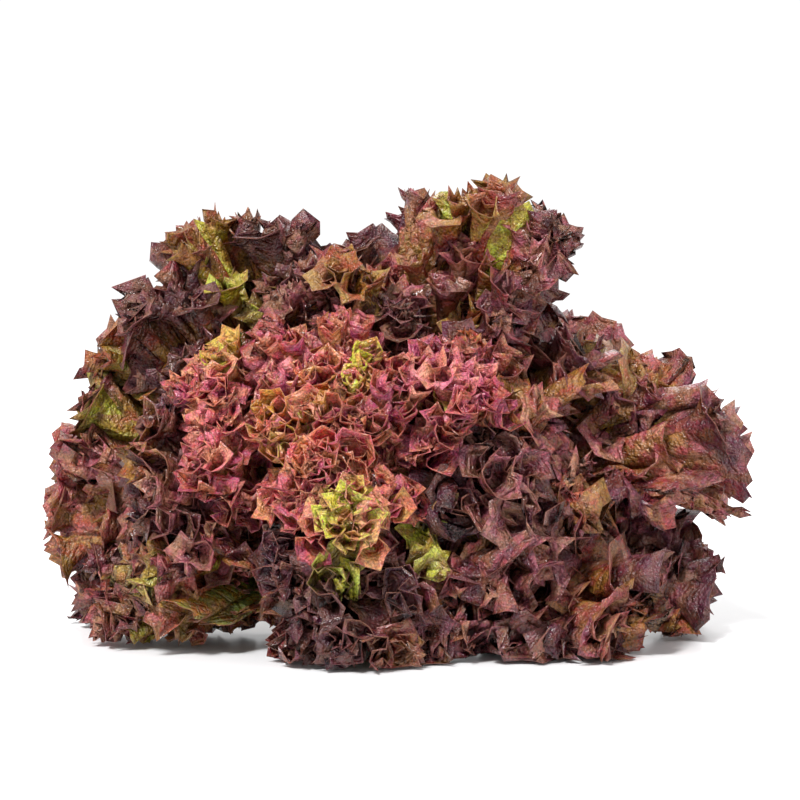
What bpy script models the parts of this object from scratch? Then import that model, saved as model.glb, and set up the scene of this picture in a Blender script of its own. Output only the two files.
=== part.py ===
"""A head of frilled red leaf lettuce, cut at the stem and set down on the cut, its crown leaning forward.

The origin is on the surface that the head stands on, under the middle of its box. +Z is up, and the
crown leans towards -Y. Every large leaf is one thin closed blade that springs from the stem and opens
into a ruffled fan. The small leaves of the heart are fused to their bud.

The leaves stand round the crown in rings. Each has a band of directions to itself, as seen from the
crown, and every fold and frill stays inside that band, so no leaf crosses another.
"""

import math
import random
from dataclasses import dataclass

import bmesh
import bpy
import numpy as np
from mathutils import Vector

# Driving dimensions, in metres and radians
CROWN_HEIGHT = 0.030
CROWN_LEAN_FORWARD = math.radians(48)
CROWN_LEAN_LEFT = math.radians(8)
STEM_RADIUS = 0.0155
STEM_SET_BACK = 0.010
LEAF_REACH = 0.131
FRONT_REACH = 0.114
ROOT_REACH = 0.016
BLADE = 0.0009
RIB = 0.0014
MITRE_LIMIT = 1.4

# The rings of leaves: how far each leans from the crown's axis, its leaves and the first one's turn, in degrees
RINGS = (
    (32.0, 4, -90.0),
    (48.0, 5, 54.0),
    (64.5, 6, 30.0),
    (81.0, 7, 12.0),
    (97.5, 7, -14.0),
)
WIDEST_LEAN = math.radians(106)
LOWEST_RISE = math.radians(-27)

# How far the head reaches in the upright plane across it, by degrees from straight up and to the right
ROUND_TURNS = (-125, -105, -76, -60, -44, -23, -4, 20, 36, 53, 67, 80, 104, 125)
ROUND_REACH = (
    *(0.118, 0.124, 0.134, 0.138, 0.134, 0.141, 0.120),
    *(0.155, 0.124, 0.136, 0.149, 0.144, 0.122, 0.118),
)

# The outline of a leaf and its folds, frills and teeth
BASE_SHARE = 0.80
OVERLAP = 1.26
SHOULDER_DROP = 0.45
UPRIGHT_SHARE = 0.72
BAND = math.radians(7.5)
FOLDS = 2.5
FRILLS = 6
FRILL_START = 0.42
TEETH = 24
FOLD_SHARE = 0.42
FRILL_CURL = 0.0042
TOOTH = 0.0034
LEAF_ROWS = ((0.0, 6), (0.30, 12), (0.56, 24), (0.80, 24), (1.0, 48))

# The surface that the low leaves lie along
FLOOR_BEND = 0.006
FLOOR_ROUND = 0.010
FLOOR_SLOPE = 0.24
FLOOR_LIFT = 0.0092

# The heart: small leaves round a slim bud
HEART_LEAVES = 11
HEART_REACH = 0.102
HEART_SWING = math.radians(3.4)
HEART_ROWS = ((0.0, 6), (0.42, 6), (0.76, 12), (1.0, 24))
HEART_BUD = ((0.0105, 0.0035), (0.016, 0.0055), (0.034, 0.0085), (0.055, 0.0080), (0.070, 0.0035))

SEED = 11


@dataclass(frozen=True)
class Leaf:
    """Where one leaf points, how far it reaches and how its margin folds."""

    name: str
    lean: float
    turn: float
    reach: float
    half_cell: float
    overlap: float
    swing: float
    fold_phase: float
    frill_phase: float
    warp: tuple
    in_heart: bool = False


def unit(vector):
    """The vector at length one."""
    return vector / np.linalg.norm(vector)


CROWN = np.array((0.0, 0.0, CROWN_HEIGHT))
AXIS = unit(
    np.array((-math.sin(CROWN_LEAN_LEFT), -math.sin(CROWN_LEAN_FORWARD), math.cos(CROWN_LEAN_FORWARD)))
)
RIGHT = unit(np.array((1.0, 0.0, 0.0)) - AXIS[0] * AXIS)
BACK = np.cross(AXIS, RIGHT)


def outward(lean, turn):
    """Unit vectors that lean by this much from the crown's axis, at this turn about it."""
    lean, turn = np.broadcast_arrays(lean, turn)
    return (
        np.sin(lean)[..., None] * (np.cos(turn)[..., None] * RIGHT + np.sin(turn)[..., None] * BACK)
        + np.cos(lean)[..., None] * AXIS
    )


def smooth_step(value, low, high):
    """0 below low, 1 above high and a smooth rise between them."""
    share = np.clip((value - low) / (high - low), 0.0, 1.0)
    return share * share * (3 - 2 * share)


def leaf_reach(direction):
    """How far a leaf in this direction reaches: two tall lobes behind, full sides and a lower front."""
    turn = math.degrees(math.atan2(direction[0], direction[2]))
    round_reach = float(np.interp(turn, ROUND_TURNS, ROUND_REACH))
    front = float(smooth_step(-direction[1], 0.15, 0.75))
    return round_reach + front * (FRONT_REACH - round_reach)


def loosened(lean, turn):
    """Leans and turns shifted a little by a smooth rule that all leaves share, so the rings aren't even."""
    return (
        lean + 0.055 * np.sin(lean) * np.sin(2 * turn - 3.2 * lean + 1.0),
        turn + 0.075 * np.sin(3 * turn + 2.6 * lean),
    )


def attachment(leaf, turn):
    """Points on the stem that the leaf grows from: the wider a leaf leans, the lower it grows."""
    side = np.cos(turn)[..., None] * RIGHT + np.sin(turn)[..., None] * BACK
    if leaf.in_heart:
        return CROWN + 0.021 * AXIS + 0.003 * side
    share = min(1.0, leaf.lean / WIDEST_LEAN)
    return CROWN + (0.018 - 0.032 * share**1.2) * AXIS + (0.0060 + 0.0140 * share**0.8) * side


def eased_over_floor(points, share):
    """Points lifted so that leaves that point below the surface come to lie along it, in their order."""
    drop = points[..., 2] - FLOOR_BEND
    rounded = 0.5 * (drop + np.sqrt(drop**2 + FLOOR_ROUND**2))
    eased = FLOOR_SLOPE * drop + (1 - FLOOR_SLOPE) * rounded + FLOOR_LIFT
    points[..., 2] += share * (eased - points[..., 2])
    points[..., 2] = np.maximum(points[..., 2], BLADE / 2)
    return points


def band_wave(leaf, across, frilled, along, place):
    """The leaf's sway across its band, from -1 to 1: long folds that break into frills towards the margin."""
    folds = smooth_step(along, 0.15, 0.95) * np.sin(math.pi * FOLDS * across + leaf.fold_phase)
    frills = frilled**1.3 * np.sin(math.pi * FRILLS * (across + 1) + leaf.frill_phase)
    lapped = smooth_step(np.abs(place), 0.26, 0.56)
    sway = (1 - 0.60 * lapped) * (FOLD_SHARE * folds + (1 - FOLD_SHARE) * frills)
    return sway + 0.5 * leaf.overlap * lapped * np.sign(place)


def leaf_points(leaf, across, along):
    """Points of a leaf's middle surface: across is -1 to 1 over the fan, and along 0 at the stem to 1."""
    place = across + leaf.warp[0] * np.sin(math.pi * across) + leaf.warp[1] * np.sin(2 * math.pi * across)
    outline = 1 - SHOULDER_DROP * np.abs(place) ** 2.5
    radius = ROOT_REACH + (leaf.reach * outline - ROOT_REACH) * along
    near = np.maximum(radius, 0.3 * leaf.reach)

    frilled = np.clip((along - FRILL_START) / (1 - FRILL_START), 0.0, 1.0)
    curl = -FRILL_CURL * frilled * np.sin(2 * (math.pi * FRILLS * (across + 1) + leaf.frill_phase))
    tooth = -TOOTH * frilled**5 * np.cos(math.pi * TEETH * (across + 1))

    spread = leaf.half_cell * (BASE_SHARE + (OVERLAP - BASE_SHARE) * smooth_step(along, 0.1, 0.8))
    upright = UPRIGHT_SHARE + (1 - UPRIGHT_SHARE) * (radius / LEAF_REACH) ** 1.2
    lean = upright * leaf.lean + leaf.swing * band_wave(leaf, across, frilled, along, place)
    turn = leaf.turn + place * spread + curl / (near * np.sin(leaf.lean))
    fan = CROWN + (radius + tooth)[..., None] * outward(*loosened(lean, turn))

    root = attachment(leaf, turn)
    hold = (np.clip((LEAF_REACH - radius) / (LEAF_REACH - ROOT_REACH), 0.0, 1.0) ** 2.6)[..., None]
    return eased_over_floor(hold * root + (1 - hold) * fan, 1 - hold[..., 0])


def strip(inner, outer):
    """Triangles between two rows of vertex numbers, the outer one with as many or twice as many steps."""
    faces = []
    if len(outer) == len(inner):
        for j in range(len(inner) - 1):
            a, b, c, d = inner[j], inner[j + 1], outer[j + 1], outer[j]
            faces += [(a, b, c), (a, c, d)] if j % 2 else [(a, b, d), (b, c, d)]
        return faces
    for j in range(len(inner) - 1):
        a, b = inner[j], inner[j + 1]
        left, middle, right = outer[2 * j : 2 * j + 3]
        faces += [(a, middle, left), (a, b, middle), (b, right, middle)]
    return faces


def leaf_sheet(leaf):
    """The leaf's middle surface as points, triangles, rim and thickness, finer towards the margin."""
    points, rows, thickness = [], [], []
    for along, count in HEART_ROWS if leaf.in_heart else LEAF_ROWS:
        across = np.linspace(-1.0, 1.0, count + 1)
        first = sum(len(row) for row in rows)
        rows.append(list(range(first, first + count + 1)))
        points.append(leaf_points(leaf, across, np.full(count + 1, along)))
        thickness.append(BLADE + RIB * np.exp(-((across / 0.3) ** 2)) * (1 - along) ** 2)
    faces = [face for inner, outer in zip(rows, rows[1:]) for face in strip(inner, outer)]
    left = [row[0] for row in rows[1:-1]]
    right = [row[-1] for row in rows[1:-1]]
    rim = rows[0] + right + rows[-1][::-1] + left[::-1]
    return np.concatenate(points), faces, rim, np.concatenate(thickness)


def face_steps(points, faces, thickness):
    """The step from the middle surface to a face at each point, longer where the blade folds sharply."""
    faces = np.array(faces)
    corners = points[faces]
    flat = np.cross(corners[:, 1] - corners[:, 0], corners[:, 2] - corners[:, 0])
    flat /= np.linalg.norm(flat, axis=1)[:, None]
    normals = np.zeros_like(points)
    for corner in range(3):
        np.add.at(normals, faces[:, corner], flat)
    normals /= np.linalg.norm(normals, axis=1)[:, None]
    facing, count = np.zeros(len(points)), np.zeros(len(points))
    for corner in range(3):
        np.add.at(facing, faces[:, corner], np.sum(normals[faces[:, corner]] * flat, axis=1))
        np.add.at(count, faces[:, corner], 1.0)
    mitre = np.minimum(count / np.maximum(facing, 1e-6), MITRE_LIMIT)
    return normals * (mitre * thickness / 2)[:, None]


def add_blade(mesh, leaf):
    """Adds the leaf to the bmesh as a closed blade, split alike on both faces."""
    points, faces, rim, thickness = leaf_sheet(leaf)
    step = face_steps(points, faces, thickness)
    upper = [mesh.verts.new((x, y, max(0.0, z))) for x, y, z in points + step]
    lower = [mesh.verts.new((x, y, max(0.0, z))) for x, y, z in points - step]
    for a, b, c in faces:
        mesh.faces.new((upper[a], upper[b], upper[c]))
        mesh.faces.new((lower[c], lower[b], lower[a]))
    for a, b in zip(rim, rim[1:] + rim[:1]):
        mesh.faces.new((upper[b], upper[a], lower[a]))
        mesh.faces.new((upper[b], lower[a], lower[b]))


def new_object(name, mesh, material):
    """Turns a bmesh into a named object of one material."""
    bmesh.ops.recalc_face_normals(mesh, faces=mesh.faces)
    data = bpy.data.meshes.new(name)
    mesh.to_mesh(data)
    mesh.free()
    data.materials.append(material)
    thing = bpy.data.objects.new(name, data)
    bpy.context.scene.collection.objects.link(thing)
    return thing


def leaf_material(name, colour, roughness):
    """A leaf or stem finish: a plain Principled BSDF."""
    material = bpy.data.materials.new(name)
    material.use_nodes = True
    shader = material.node_tree.nodes["Principled BSDF"]
    shader.inputs["Base Color"].default_value = (*colour, 1.0)
    shader.inputs["Roughness"].default_value = roughness
    shader.inputs["Metallic"].default_value = 0.0
    return material


def ring(mesh, centre, along, radius, sides):
    """A ring of vertices round a point, square to a direction."""
    side = unit(np.cross(along, (0.0, 1.0, 0.0)))
    other = np.cross(along, side)
    turns = [2 * math.pi * k / sides for k in range(sides)]
    return [mesh.verts.new(centre + radius * (math.cos(t) * side + math.sin(t) * other)) for t in turns]


def turned(mesh, sections, sides):
    """A closed round body through (centre, direction, radius) sections, flat at both ends."""
    rings = [ring(mesh, centre, along, radius, sides) for centre, along, radius in sections]
    for low, high in zip(rings, rings[1:]):
        for k in range(sides):
            after = (k + 1) % sides
            mesh.faces.new((low[k], low[after], high[after]))
            mesh.faces.new((low[k], high[after], high[k]))
    mesh.faces.new(rings[0])
    mesh.faces.new(rings[-1])


def build_stem(material):
    """The short stem: cut flat and level below, bent forward, and domed where the leaves grow from it."""
    up = np.array((0.0, 0.0, 1.0))
    foot = CROWN - CROWN_HEIGHT * up + np.array((0.0, STEM_SET_BACK, 0.0))
    neck = CROWN - 0.011 * AXIS
    sections = [
        (foot, up, STEM_RADIUS),
        (foot + 0.003 * up, up, STEM_RADIUS + 0.0007),
        (foot + 0.009 * up - 0.001 * BACK, unit(up + 0.4 * AXIS), STEM_RADIUS + 0.0005),
        (neck, AXIS, STEM_RADIUS),
        (CROWN - 0.002 * AXIS, AXIS, 0.0125),
        (CROWN + 0.005 * AXIS, AXIS, 0.0085),
        (CROWN + 0.009 * AXIS, AXIS, 0.0045),
    ]
    mesh = bmesh.new()
    turned(mesh, sections, 16)
    bmesh.ops.triangulate(mesh, faces=mesh.faces)
    return new_object("stem", mesh, material)


def build_heart(material):
    """The heart: a slim bud with its small leaves joined to it by one union."""
    bud = bmesh.new()
    turned(bud, [(CROWN + along * AXIS, AXIS, radius) for along, radius in HEART_BUD], 10)
    bmesh.ops.triangulate(bud, faces=bud.faces)
    heart = new_object("heart", bud, material)
    blades = bpy.data.collections.new("heart_blades")
    bpy.context.scene.collection.children.link(blades)
    for k in range(HEART_LEAVES):
        mesh = bmesh.new()
        add_blade(mesh, heart_leaf(k))
        blade = new_object(f"heart_blade_{k}", mesh, material)
        bpy.context.scene.collection.objects.unlink(blade)
        blades.objects.link(blade)
    union = heart.modifiers.new("leaves", "BOOLEAN")
    union.operation = "UNION"
    union.operand_type = "COLLECTION"
    union.collection = blades
    union.solver = "MANIFOLD"
    graph = bpy.context.evaluated_depsgraph_get()
    joined = bpy.data.meshes.new_from_object(heart.evaluated_get(graph))
    heart.modifiers.clear()
    heart.data = joined
    for blade in list(blades.objects):
        bpy.data.objects.remove(blade)
    bpy.data.collections.remove(blades)
    return heart


def heart_leaf(k):
    """One of the small leaves round the bud, each a little further out than the last."""
    share = k / (HEART_LEAVES - 1)
    return Leaf(
        name=f"heart_blade_{k}",
        lean=math.radians(5 + 16 * share),
        turn=math.radians(-25 + 137.5 * k),
        reach=HEART_REACH + 0.008 * share,
        half_cell=math.radians(70 - 26 * share) / OVERLAP,
        overlap=0.0,
        swing=HEART_SWING,
        fold_phase=0.0,
        frill_phase=math.pi / 2,
        warp=(0.0, 0.0),
        in_heart=True,
    )


def plan_leaves():
    """The large leaves, ring by ring outwards, without those that would point too far into the surface."""
    chance = random.Random(SEED)
    leaves = []
    for lean, count, first_turn in RINGS:
        lean = math.radians(lean)
        for k in range(count):
            turn = math.radians(first_turn + 360 * k / count)
            luck = [chance.uniform(-1, 1) for _ in range(5)]
            direction = outward(lean, turn)
            if math.asin(direction[2]) < LOWEST_RISE:
                continue
            leaves.append(
                Leaf(
                    name=f"leaf_{len(leaves) + 1:02d}",
                    lean=lean,
                    turn=turn,
                    reach=leaf_reach(direction) - 0.004 + 0.004 * luck[0],
                    half_cell=math.pi / count,
                    overlap=1.0,
                    swing=BAND,
                    fold_phase=math.pi * luck[1],
                    frill_phase=math.pi * (0.25 + (luck[2] > 0)),
                    warp=(0.05 * luck[3], 0.03 * luck[4]),
                )
            )
    return leaves


def stand_over_origin(things):
    """Moves all the pieces together, so that the middle of their box stands over the origin."""
    points = [thing.matrix_world @ Vector(corner) for thing in things for corner in thing.bound_box]
    low = [min(point[k] for point in points) for k in range(3)]
    high = [max(point[k] for point in points) for k in range(3)]
    for thing in things:
        thing.location.x -= (low[0] + high[0]) / 2
        thing.location.y -= (low[1] + high[1]) / 2


def main():
    """Clears the scene and builds the stem, the heart and the large leaves."""
    for thing in list(bpy.data.objects):
        bpy.data.objects.remove(thing)
    pale = leaf_material("stem", (0.62, 0.66, 0.40), 0.5)
    rosy = leaf_material("heart", (0.52, 0.20, 0.17), 0.45)
    wine = leaf_material("leaf", (0.27, 0.10, 0.09), 0.45)
    things = [build_stem(pale), build_heart(rosy)]
    for leaf in plan_leaves():
        mesh = bmesh.new()
        add_blade(mesh, leaf)
        things.append(new_object(leaf.name, mesh, wine))
    stand_over_origin(things)


if __name__ == "__main__":
    main()
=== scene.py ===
"""The looks of a head of frilled red leaf lettuce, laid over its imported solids.

Each large leaf is a blade with ruffles that grow out of its face. All are grids that take the form of
the leaf's solid by the same rule, and are then frilled more and more finely towards their edges. The
heart is a nest of small leaves made the same way, and the stem is extruded from a ring and bent forward
as its solid is.
"""

import logging
import math
import random
from collections.abc import Iterable
from dataclasses import dataclass, replace
from enum import Enum

import bpy
import numpy as np
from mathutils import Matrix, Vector


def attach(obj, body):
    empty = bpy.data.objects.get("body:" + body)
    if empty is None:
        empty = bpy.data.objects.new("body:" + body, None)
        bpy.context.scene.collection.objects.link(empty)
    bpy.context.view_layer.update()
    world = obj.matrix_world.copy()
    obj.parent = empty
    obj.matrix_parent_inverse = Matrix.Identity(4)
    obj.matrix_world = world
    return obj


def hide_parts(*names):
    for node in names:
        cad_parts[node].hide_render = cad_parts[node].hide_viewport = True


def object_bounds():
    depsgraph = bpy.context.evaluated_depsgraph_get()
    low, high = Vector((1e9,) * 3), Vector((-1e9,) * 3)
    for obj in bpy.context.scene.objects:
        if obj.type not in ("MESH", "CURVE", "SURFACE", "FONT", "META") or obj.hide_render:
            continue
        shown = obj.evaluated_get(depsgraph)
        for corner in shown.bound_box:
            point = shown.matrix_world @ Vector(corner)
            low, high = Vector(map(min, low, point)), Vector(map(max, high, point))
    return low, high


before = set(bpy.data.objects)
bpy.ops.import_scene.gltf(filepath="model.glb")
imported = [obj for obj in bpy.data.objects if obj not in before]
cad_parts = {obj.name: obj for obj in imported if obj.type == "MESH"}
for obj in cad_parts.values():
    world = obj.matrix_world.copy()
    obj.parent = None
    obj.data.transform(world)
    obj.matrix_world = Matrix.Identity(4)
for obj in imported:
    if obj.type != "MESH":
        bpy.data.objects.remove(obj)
CAD_LOW, CAD_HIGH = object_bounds()

log = logging.getLogger("lettuce")

Colour = tuple[float, float, float]


def unit(vector: np.ndarray) -> np.ndarray:
    """The vector at length one."""
    return vector / np.linalg.norm(vector)


def smooth_step(value: np.ndarray | float, low: float, high: float) -> np.ndarray:
    """Rises smoothly from 0 at low to 1 at high.

    Args:
        value: What is compared with the two limits.
        low: Where the rise starts.
        high: Where the rise ends.

    Returns:
        The share of the rise, from 0 to 1.
    """
    share = np.clip((value - low) / (high - low), 0.0, 1.0)
    return share * share * (3 - 2 * share)


class LeafKind(Enum):
    """Where a leaf grows. Its value names the record's material slot for the leaf; nothing here assigns it.
    """

    LARGE = "leaf"
    HEART = "heart"


@dataclass(frozen=True)
class Spot:
    """A place across a leaf, from -1 to 1: its middle, its half width and its strength."""

    middle: float
    width: float
    strength: float = 1.0

    def mask(self, across: np.ndarray) -> np.ndarray:
        """How strongly each place across the leaf belongs to the spot."""
        return self.strength * np.exp(-(((across - self.middle) / self.width) ** 2))


@dataclass(frozen=True)
class Lime(Spot):
    """A bright young patch, on the sheets of the leaf that end at this distance from the stem."""

    end: float = 1.0


def covered(spots: Iterable[Spot], across: np.ndarray) -> np.ndarray:
    """How strongly each place across a leaf belongs to all of the spots together."""
    return sum((spot.mask(across) for spot in spots), np.zeros(across.shape))


@dataclass(frozen=True)
class LeafHabit:
    """What sets one leaf apart: its colouring, and where it is calmer, fuller or cut back.

    A tone of 0 is dark wine red and 1 is bright bronze red. Calms are broad smooth cups, trims make the
    leaf longer or shorter, and leafy places stay green to the edge.
    """

    tone: float = 0.45
    green: float = 0.40
    limes: tuple[Lime, ...] = ()
    calms: tuple[Spot, ...] = ()
    trims: tuple[Spot, ...] = ()
    leafy: tuple[Spot, ...] = ()


HABITS: dict[str, LeafHabit] = {
    "leaf_01": LeafHabit(tone=0.80, green=0.45, limes=(Lime(0.06, 0.13, 0.9), Lime(0.14, 0.10, 0.9, 0.96))),
    "leaf_02": LeafHabit(tone=0.40, green=0.30, limes=(Lime(-0.07, 0.03, end=0.96),)),
    "leaf_03": LeafHabit(tone=0.40, green=0.45, limes=(Lime(0.41, 0.08, 0.7),)),
    "leaf_04": LeafHabit(tone=0.65, green=0.30, limes=(Lime(-0.42, 0.06, 0.7),)),
    "leaf_05": LeafHabit(
        tone=0.50,
        green=0.45,
        limes=(
            Lime(0.31, 0.04),
            Lime(-0.04, 0.05, end=0.96),
            Lime(-0.10, 0.03, end=0.83),
            Lime(-0.53, 0.04, end=0.70),
        ),
        trims=(Spot(0.65, 0.35, -0.08), Spot(-0.65, 0.30, -0.06)),
    ),
    "leaf_06": LeafHabit(
        tone=0.12,
        green=0.30,
        limes=(Lime(-0.08, 0.13, 0.9, 0.83), Lime(0.19, 0.10, 0.9, 0.70), Lime(-0.12, 0.05, 0.7, 0.96)),
        trims=(Spot(0.70, 0.30, 0.06), Spot(-0.35, 0.40, 0.09)),
    ),
    "leaf_07": LeafHabit(tone=0.30, green=0.30, calms=(Spot(0.60, 0.15, 0.6),)),
    "leaf_08": LeafHabit(
        tone=0.02,
        green=0.02,
        limes=(Lime(0.05, 0.06), Lime(0.0, 0.07, end=0.96), Lime(0.56, 0.05, 0.8, 0.96)),
    ),
    "leaf_09": LeafHabit(tone=0.38, green=0.30, limes=(Lime(-0.75, 0.06, 0.9), Lime(-0.72, 0.06, 0.9, 0.96))),
    "leaf_10": LeafHabit(
        tone=0.42, green=0.45, calms=(Spot(-0.48, 0.22, 0.9),), trims=(Spot(0.20, 0.40, -0.12),)
    ),
    "leaf_12": LeafHabit(
        tone=0.66,
        green=0.60,
        limes=(Lime(0.43, 0.05, 0.9), Lime(0.46, 0.04, 0.7, 0.96)),
        trims=(Spot(-0.60, 0.35, -0.06),),
    ),
    "leaf_13": LeafHabit(
        tone=0.76, green=0.75, limes=(Lime(0.10, 0.06, 0.6),), leafy=(Spot(0.50, 0.26, 1.5),)
    ),
    "leaf_14": LeafHabit(
        tone=0.02, green=0.05, trims=(Spot(0.40, 0.50, 0.08),), leafy=(Spot(-0.62, 0.10, 0.8),)
    ),
    "leaf_15": LeafHabit(tone=0.45, green=0.25),
    "leaf_16": LeafHabit(tone=0.58, green=0.45, calms=(Spot(-0.50, 0.20, 0.75), Spot(0.20, 0.16, 0.7))),
    "leaf_17": LeafHabit(trims=(Spot(-0.45, 0.30, -0.12),)),
    "leaf_19": LeafHabit(tone=0.62, green=0.50),
    "leaf_20": LeafHabit(
        tone=0.66,
        green=0.85,
        limes=(Lime(-0.14, 0.10, 0.7, 0.96),),
        trims=(Spot(-0.45, 0.5, 0.12), Spot(0.6, 0.5, -0.34)),
        leafy=(Spot(0.35, 0.25, 0.7),),
    ),
    "leaf_21": LeafHabit(tone=0.26, green=0.18, trims=(Spot(-0.20, 0.80, 0.13),)),
    "leaf_22": LeafHabit(tone=0.38, green=0.25, trims=(Spot(0.30, 0.60, 0.14),)),
    "leaf_23": LeafHabit(trims=(Spot(0.10, 0.40, -0.08),)),
    "leaf_26": LeafHabit(tone=0.50, green=0.75, trims=(Spot(-0.5, 0.6, 0.08), Spot(0.7, 0.5, -0.25))),
    "heart_leaf_01": LeafHabit(tone=0.75, green=0.45, limes=(Lime(0.18, 0.10, 0.9),)),
    "heart_leaf_03": LeafHabit(tone=0.70, green=0.40, limes=(Lime(-0.42, 0.12),)),
    "heart_leaf_04": LeafHabit(tone=0.80, green=0.50, limes=(Lime(-0.14, 0.10),)),
    "heart_leaf_08": LeafHabit(tone=0.85, green=0.50, limes=(Lime(0.30, 0.08, 0.7),)),
    "heart_leaf_11": LeafHabit(tone=0.85, green=0.35),
}


@dataclass(frozen=True)
class LeafPlan:
    """Where one leaf points, how far it reaches and how its margin folds."""

    name: str
    kind: LeafKind
    lean: float
    turn: float
    reach: float
    half_cell: float
    swing: float
    seed: int
    overlap: float = 0.0
    fold_phase: float = 0.0
    frill_phase: float = math.pi / 2
    warp: tuple[float, float] = (0.0, 0.0)


@dataclass(frozen=True)
class Crown:
    """The crown that all the leaves spring from: its place, its lean and the surface below it."""

    foot: tuple[float, float]
    height: float = 0.030
    lean_forward: float = math.radians(48)
    lean_left: float = math.radians(8)
    stem_set_back: float = 0.010
    leaf_reach: float = 0.131
    front_reach: float = 0.114
    root_reach: float = 0.016
    widest_lean: float = math.radians(106)
    loose_lean: float = 0.055
    loose_turn: float = 0.075
    bud_rise: float = 0.021
    bud_radius: float = 0.003
    top_rise: float = 0.018
    rise_span: float = 0.032
    top_radius: float = 0.0060
    radius_span: float = 0.0140
    floor_bend: float = 0.006
    floor_round: float = 0.010
    floor_slope: float = 0.24
    floor_lift: float = 0.0080

    @property
    def centre(self) -> np.ndarray:
        """The point that the leaves radiate from."""
        return np.array((self.foot[0], self.foot[1] - self.stem_set_back, self.height))

    @property
    def axis(self) -> np.ndarray:
        """The direction that the heart faces."""
        forward, left = self.lean_forward, self.lean_left
        return unit(np.array((-math.sin(left), -math.sin(forward), math.cos(forward))))

    @property
    def right(self) -> np.ndarray:
        """Square to the axis, as near as can be to +X."""
        return unit(np.array((1.0, 0.0, 0.0)) - self.axis[0] * self.axis)

    @property
    def back(self) -> np.ndarray:
        """Square to the axis and to the right."""
        return np.cross(self.axis, self.right)

    def sideways(self, turn: np.ndarray) -> np.ndarray:
        """Unit vectors square to the axis, at these turns about it."""
        return np.cos(turn)[..., None] * self.right + np.sin(turn)[..., None] * self.back

    def outward(self, lean: np.ndarray, turn: np.ndarray) -> np.ndarray:
        """Unit vectors away from the crown.

        Args:
            lean: Angles from the axis, in radians.
            turn: Turns about the axis, in radians.

        Returns:
            One direction for each pair of angles.
        """
        lean, turn = np.broadcast_arrays(lean, turn)
        return np.sin(lean)[..., None] * self.sideways(turn) + np.cos(lean)[..., None] * self.axis

    def loosened(self, lean: np.ndarray, turn: np.ndarray) -> tuple[np.ndarray, np.ndarray]:
        """Leans and turns shifted a little by the smooth rule that all the leaves share."""
        return (
            lean + self.loose_lean * np.sin(lean) * np.sin(2 * turn - 3.2 * lean + 1.0),
            turn + self.loose_turn * np.sin(3 * turn + 2.6 * lean),
        )

    def attachment(self, plan: LeafPlan, turn: np.ndarray) -> np.ndarray:
        """Points on the stem, or on the bud, that a leaf grows from.

        Args:
            plan: The leaf.
            turn: The turns about the axis of the points along the leaf's foot.

        Returns:
            One point for each turn.
        """
        side = self.sideways(turn)
        if plan.kind is LeafKind.HEART:
            return self.centre + self.bud_rise * self.axis + self.bud_radius * side
        share = min(1.0, plan.lean / self.widest_lean)
        rise = self.top_rise - self.rise_span * share**1.2
        return self.centre + rise * self.axis + (self.top_radius + self.radius_span * share**0.8) * side

    def eased(self, points: np.ndarray, share: np.ndarray) -> np.ndarray:
        """Lifts points so that the low leaves lie along the surface, in their order.

        Args:
            points: Points of a leaf, which are changed in place.
            share: How far each point follows the rule, from 0 at the stem to 1.

        Returns:
            The same points.
        """
        drop = points[..., 2] - self.floor_bend
        rounded = 0.5 * (drop + np.sqrt(drop**2 + self.floor_round**2))
        eased = self.floor_slope * drop + (1 - self.floor_slope) * rounded + self.floor_lift
        points[..., 2] += share * (eased - points[..., 2])
        return points


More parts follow.
